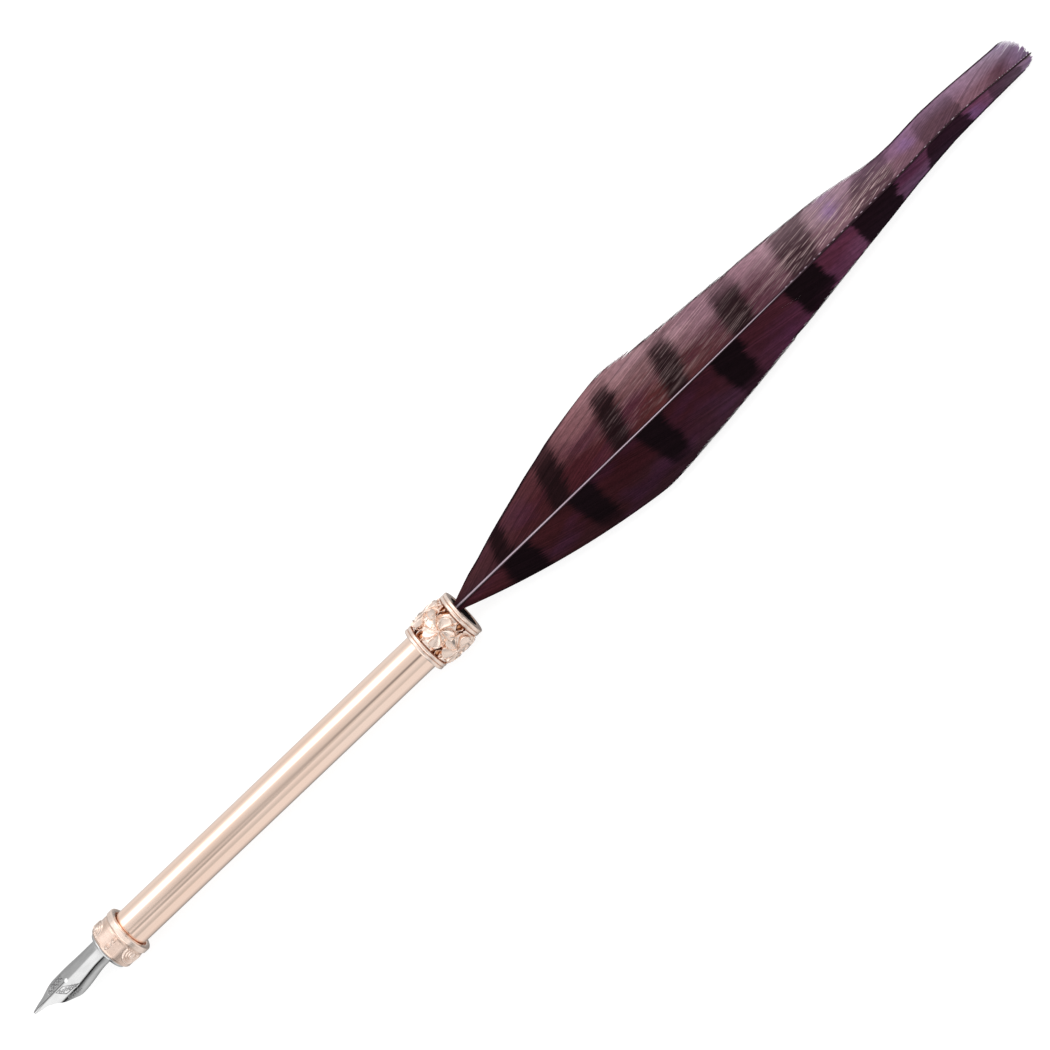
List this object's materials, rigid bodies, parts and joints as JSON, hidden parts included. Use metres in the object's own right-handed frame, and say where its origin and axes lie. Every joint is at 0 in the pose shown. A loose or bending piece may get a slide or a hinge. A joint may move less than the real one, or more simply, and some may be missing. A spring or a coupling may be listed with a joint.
{
  "type": "feather dip pen",
  "caption": "Feather dip pen with a push-in steel nib, a polished metal barrel between two cast rings, and a barred feather.",
  "frame": {"origin": "centre of the box's underside: the flat surface that the pen lies on", "axes": "+X from the nib's tip towards the feather's tip, +Y to the wider vane's side, +Z out of the top of the feather"},
  "size_m": [0.291, 0.0276, 0.0129],
  "materials": {
    "nib_steel": "polished, engraved",
    "ferrule_steel": "turned",
    "rose_gold": "polished rose-gold plate",
    "bush_brass": "turned",
    "liner_copper": "satin copper colour",
    "grommet_rubber": "matte",
    "feather_stem": "smooth horn",
    "feather_vane": "barred feather, maroon and near black"
  },
  "bodies": {
    "pen": {"nib_ferrule": "ferrule_steel", "nib_core": "ferrule_steel", "front_collar": "rose_gold", "front_bush": "bush_brass", "barrel_tube": "rose_gold", "rear_bush": "bush_brass", "crown_liner": "liner_copper", "crown_band": "rose_gold", "feather_grommet": "grommet_rubber", "feather_shaft": "feather_stem", "vane_left": "feather_vane", "vane_right": "feather_vane"},
    "nib": {"nib": "nib_steel"}
  },
  "joints": [
    {"name": "nib_pull", "type": "slide", "parent": "pen", "child": "nib", "axis": [-1, 0, 0], "range_m": [0, 0.012]}
  ]
}
